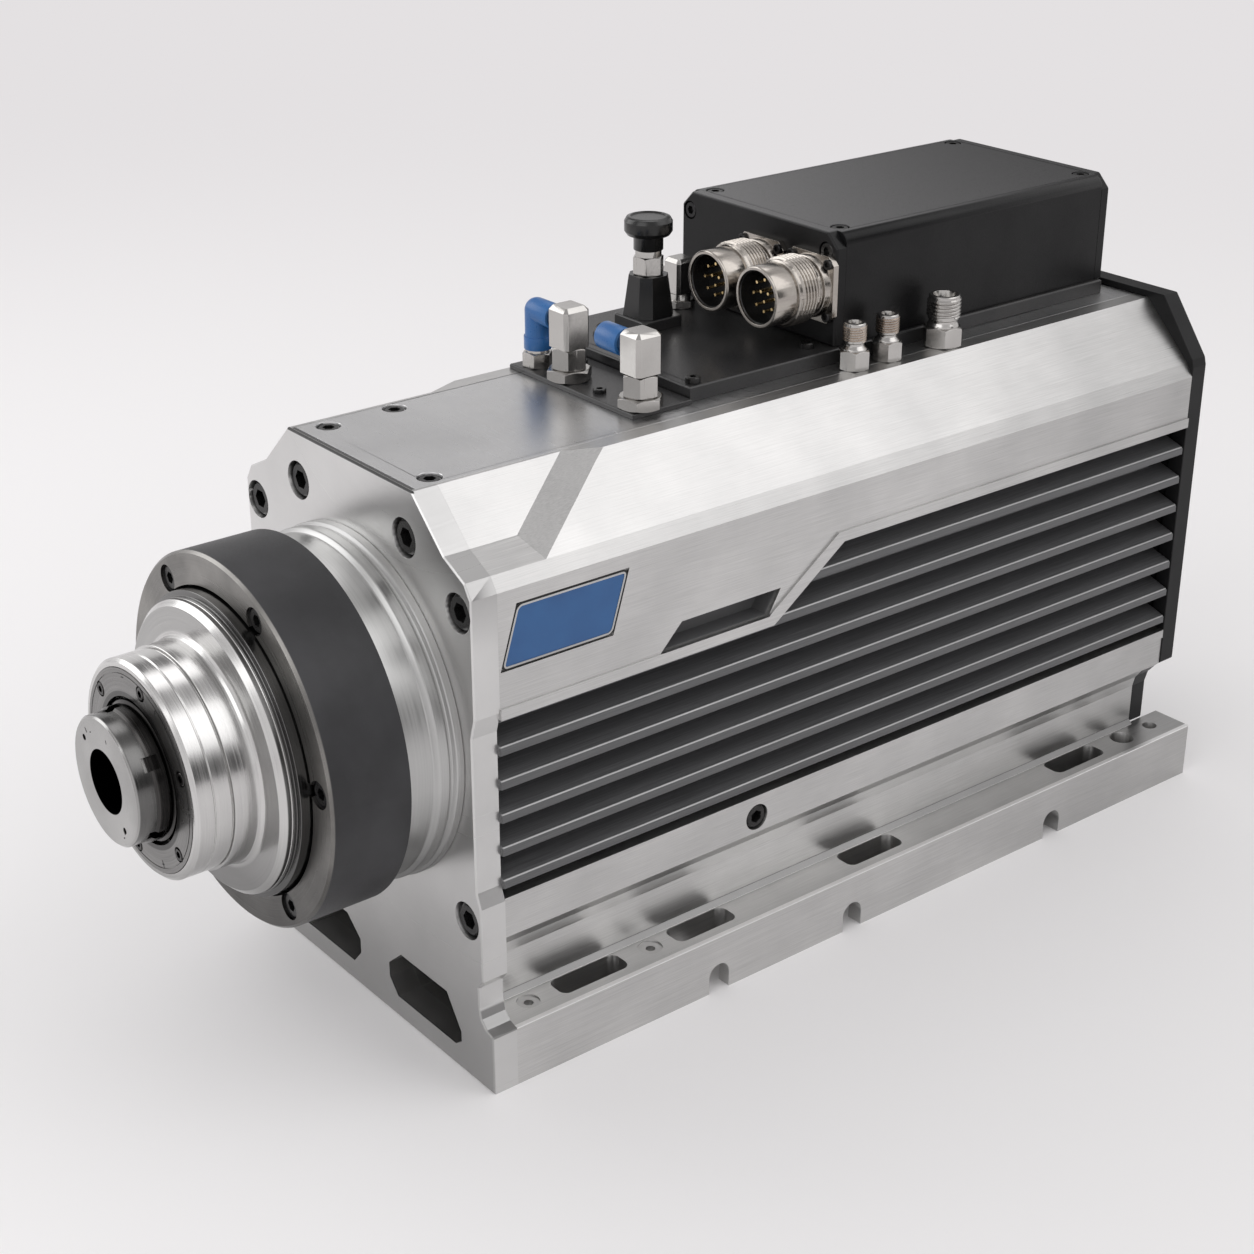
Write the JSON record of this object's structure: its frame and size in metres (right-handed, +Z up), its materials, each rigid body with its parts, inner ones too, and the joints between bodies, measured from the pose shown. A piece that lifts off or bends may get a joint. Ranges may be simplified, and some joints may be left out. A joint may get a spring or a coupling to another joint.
{
  "type": "motor spindle",
  "caption": "Air-cooled tool-change motor spindle: finned housing on a slotted foot, stepped nose with tool taper, air fittings and a terminal box on top.",
  "frame": {"origin": "middle of the foot's mounting face", "axes": "+Z up from the foot, the spindle axis along Y with the nose to -Y, +X to the side that carries the badge"},
  "size_m": [0.162, 0.506, 0.282],
  "materials": {
    "raw_aluminium": "brushed",
    "dark_fins": "satin anodised",
    "black_metal": "satin anodised",
    "bright_steel": "turned",
    "dark_steel": "blued",
    "nickel": "nickel plated",
    "black_screws": "oiled black",
    "black_plastic": "fine grain",
    "blue_plastic": "moulded",
    "badge_blue": "printed plate, left bare",
    "electrical_steel": "laminated",
    "copper": "enamelled wire",
    "gold_pins": "plated",
    "seal_rubber": "moulded"
  },
  "bodies": {
    "base": {"front_plate": "raw_aluminium", "motor_housing": "raw_aluminium", "fin_panel_right": "dark_fins", "fin_panel_left": "dark_fins", "badge_plate": "badge_blue", "rear_cover": "black_metal", "top_plate": "raw_aluminium", "top_strip": "black_plastic", "front_flange": "bright_steel", "front_ring": "black_metal", "nose_housing": "bright_steel", "nose_cover": "bright_steel", "bearing_outer_rings": "bright_steel", "rear_bearing_plate": "raw_aluminium", "stator_core": "electrical_steel", "stator_windings": "copper", "release_cylinder": "raw_aluminium", "fitting_plate": "black_metal", "elbow_one": "nickel", "elbow_one_foot": "nickel", "blue_elbow": "blue_plastic", "blue_elbow_base": "nickel", "elbow_two_foot": "nickel", "deck_plate": "black_metal", "knob_base": "black_metal", "knob_body": "black_plastic", "knob_sleeve": "nickel", "knob_spring": "bright_steel", "rear_elbow_foot": "nickel", "box_body": "black_metal", "box_front_plate": "black_metal", "box_rear_plate": "black_metal", "connector_shells": "nickel", "connector_inserts": "black_plastic", "connector_pins": "gold_pins", "hose_nipples": "nickel", "plate_screws": "black_screws", "ring_screws": "black_screws", "nose_screws": "dark_steel", "rear_cover_screws": "black_screws", "side_screws": "black_screws", "top_screws": "black_screws", "box_screws": "black_screws", "foot_plugs": "dark_steel", "rear_ports": "bright_steel"},
    "spindle": {"spindle_shaft": "bright_steel", "shaft_locknut": "dark_steel", "bearing_inner_rings": "bright_steel", "bearing_balls": "bright_steel", "rotor_core": "electrical_steel", "disc_springs": "dark_steel"},
    "drawbar_unit": {"drawbar": "bright_steel", "tool_gripper": "dark_steel"},
    "piston": {"release_piston": "raw_aluminium", "piston_seal": "seal_rubber"},
    "knob": {"knob_cap": "black_plastic"},
    "swivel_elbow": {"elbow_two": "nickel", "push_in_sleeve": "blue_plastic", "release_ring": "black_plastic"},
    "rear_swivel": {"rear_elbow": "nickel"}
  },
  "joints": [
    {"name": "spindle_spin", "type": "hinge", "parent": "base", "child": "spindle", "pos_m": [0, 0, 0.1345], "axis": [0, -1, 0], "continuous": true},
    {"name": "drawbar_slide", "type": "slide", "parent": "spindle", "child": "drawbar_unit", "axis": [0, -1, 0], "range_m": [0, 0.008], "stiffness_N_per_m": 20000, "springref_m": -0.01, "deforming": ["disc_springs"]},
    {"name": "piston_slide", "type": "slide", "parent": "base", "child": "piston", "axis": [0, -1, 0], "range_m": [0, 0.008]},
    {"name": "knob_pull", "type": "slide", "parent": "base", "child": "knob", "axis": [0, 0, 1], "range_m": [0, 0.005], "stiffness_N_per_m": 400, "springref_m": -0.004, "deforming": ["knob_spring"]},
    {"name": "elbow_swivel", "type": "hinge", "parent": "base", "child": "swivel_elbow", "pos_m": [0.026, -0.0875, 0.25], "axis": [0, 0, 1], "continuous": true},
    {"name": "rear_elbow_swivel", "type": "hinge", "parent": "base", "child": "rear_swivel", "pos_m": [-0.055, -0.001, 0.245], "axis": [0, 0, 1], "continuous": true}
  ],
  "couplings": [
    {"joint": "drawbar_slide", "follows": "piston_slide", "ratio": 1}
  ]
}
